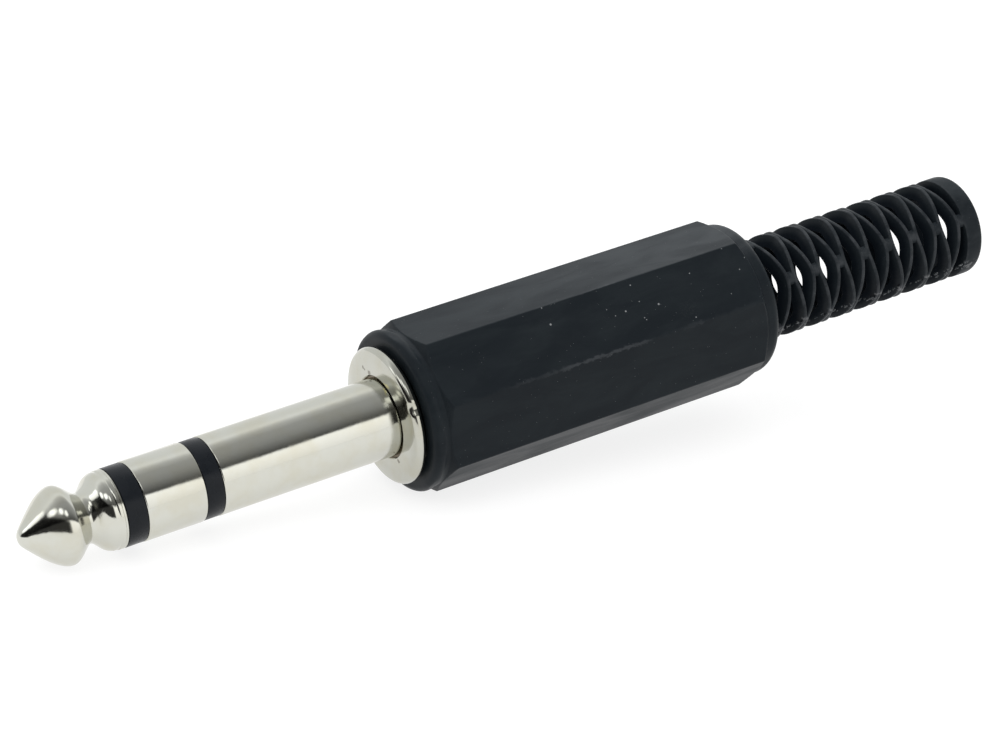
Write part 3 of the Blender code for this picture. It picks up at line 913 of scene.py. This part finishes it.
SENSOR_MM = 36.0
LENS_MM = 116.927
CAMERA_PLACE = (-0.129326, -0.197839, 0.11371)
CAMERA_TURN = (radians(65.7454), radians(-2.4435), radians(-31.7454))


def build_stage():
    """A light table: its own glow leaves only a faint shadow."""
    h = TABLE_HALF
    mesh = bpy.data.meshes.new("table")
    mesh.from_pydata([(-h, -h, 0), (h, -h, 0), (h, h, 0), (-h, h, 0)], [], [(0, 1, 2, 3)])
    floor = bpy.data.objects.new("table", mesh)
    floor.location = (0, 0, -TABLE_DROP)
    bpy.context.scene.collection.objects.link(floor)
    mat, shader, _ = new_material("white_table")
    shader.inputs["Base Color"].default_value = (TABLE_GREY, TABLE_GREY, TABLE_GREY, 1)
    shader.inputs["Emission Color"].default_value = (1, 1, 1, 1)
    shader.inputs["Emission Strength"].default_value = TABLE_GLOW
    shader.inputs["Roughness"].default_value = 0.9
    shader.inputs["Specular IOR Level"].default_value = 0.0
    floor.data.materials.append(mat)


def build_light():
    """A wide soft light overhead. It points down as it is made, and the metal doesn't mirror it."""
    data = bpy.data.lights.new("overhead", "AREA")
    data.energy = LIGHT_POWER
    data.shape = "RECTANGLE"
    data.size = LIGHT_SIZE
    data.size_y = LIGHT_SIZE
    light = bpy.data.objects.new("overhead", data)
    light.location = (0.0, 0.0, LIGHT_HEIGHT)
    light.visible_glossy = False
    bpy.context.scene.collection.objects.link(light)


def lamp_light(n, way):
    """The sum of the round lamps, each with a soft edge."""
    total = 0.0
    for azimuth, height, power in LAMPS:
        a = radians(azimuth)
        h = radians(height)
        dot = n.add("ShaderNodeVectorMath", operation="DOT_PRODUCT")
        n.put(dot.inputs[0], way)
        dot.inputs[1].default_value = (cos(a) * cos(h), sin(a) * cos(h), sin(h))
        glow = n.ramp(dot.outputs["Value"], cos(LAMP_OUTER), cos(LAMP_INNER), 0.0, power)
        total = n.plus(total, glow)
    return total


def room_light(n, turn, x, y, z):
    """The room's brightness. Toward the nose it is dark near the table."""
    room = n.add("ShaderNodeValToRGB")
    n.put(room.inputs[0], turn)
    ramp = room.color_ramp
    while len(ramp.elements) < len(ROOM_STOPS):
        ramp.elements.new(0.5)
    for element, (place, level) in zip(ramp.elements, ROOM_STOPS):
        element.position = place
        element.color = (level, level, level, 1.0)
    dark = n.times(
        n.ramp(x, 0.0, -0.3, 0.0, 1.0),
        n.ramp(z, 0.62, 0.5, 0.0, 1.0),
        n.ramp(y, 0.45, 0.25, 0.0, 1.0),
    )
    return n.times(room.outputs[0], n.minus(1.0, n.times(dark, ROOM_SHADE)))


def build_world():
    world = bpy.data.worlds.new("room")
    bpy.context.scene.world = world
    world.use_nodes = True
    world.node_tree.nodes.clear()
    n = Nodes(world.node_tree)
    way = n.add("ShaderNodeTexCoord").outputs["Generated"]
    x, y, z = n.split(way)
    turn = n.math("DIVIDE", n.math("ARCTAN2", z, n.times(y, -1.0)), pi)
    background = n.add("ShaderNodeBackground")
    n.put(background.inputs["Color"], n.mix(n.ramp(turn, 0.1, 0.3), ROOM_LOW_TINT, ROOM_TINT))
    n.put(background.inputs["Strength"], n.plus(room_light(n, turn, x, y, z), lamp_light(n, way)))
    # The camera itself sees plain white behind the table.
    white = n.add("ShaderNodeBackground")
    white.inputs["Color"].default_value = (1, 1, 1, 1)
    white.inputs["Strength"].default_value = 1.0
    pick = n.add("ShaderNodeMixShader")
    n.put(pick.inputs[0], n.add("ShaderNodeLightPath").outputs["Is Camera Ray"])
    n.put(pick.inputs[1], background.outputs[0])
    n.put(pick.inputs[2], white.outputs[0])
    n.put(n.add("ShaderNodeOutputWorld").inputs[0], pick.outputs[0])


def build_camera():
    data = bpy.data.cameras.new("camera")
    data.sensor_width = SENSOR_MM
    data.lens = LENS_MM
    data.clip_start = 0.01
    data.clip_end = 20.0
    camera = bpy.data.objects.new("camera", data)
    camera.location = CAMERA_PLACE
    camera.rotation_euler = CAMERA_TURN
    bpy.context.scene.collection.objects.link(camera)
    bpy.context.scene.camera = camera


def dress_inner_pieces():
    """The pieces inside the cover keep their CAD shapes."""
    tin = tin_material()
    fibre = fibre_material()
    looks = {
        "ground_lug": tin, "ring_lug": tin, "tip_lug": tin,
        "rear_washer_a": fibre, "rear_washer_b": fibre,
    }
    for node, mat in looks.items():
        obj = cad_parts[node]
        obj.data.materials.clear()
        obj.data.materials.append(mat)


def main():
    bpy.context.scene.view_settings.view_transform = "Standard"
    build_contacts()
    build_flange()
    build_cover()
    dress_inner_pieces()
    build_stage()
    build_world()
    build_light()
    build_camera()


main()
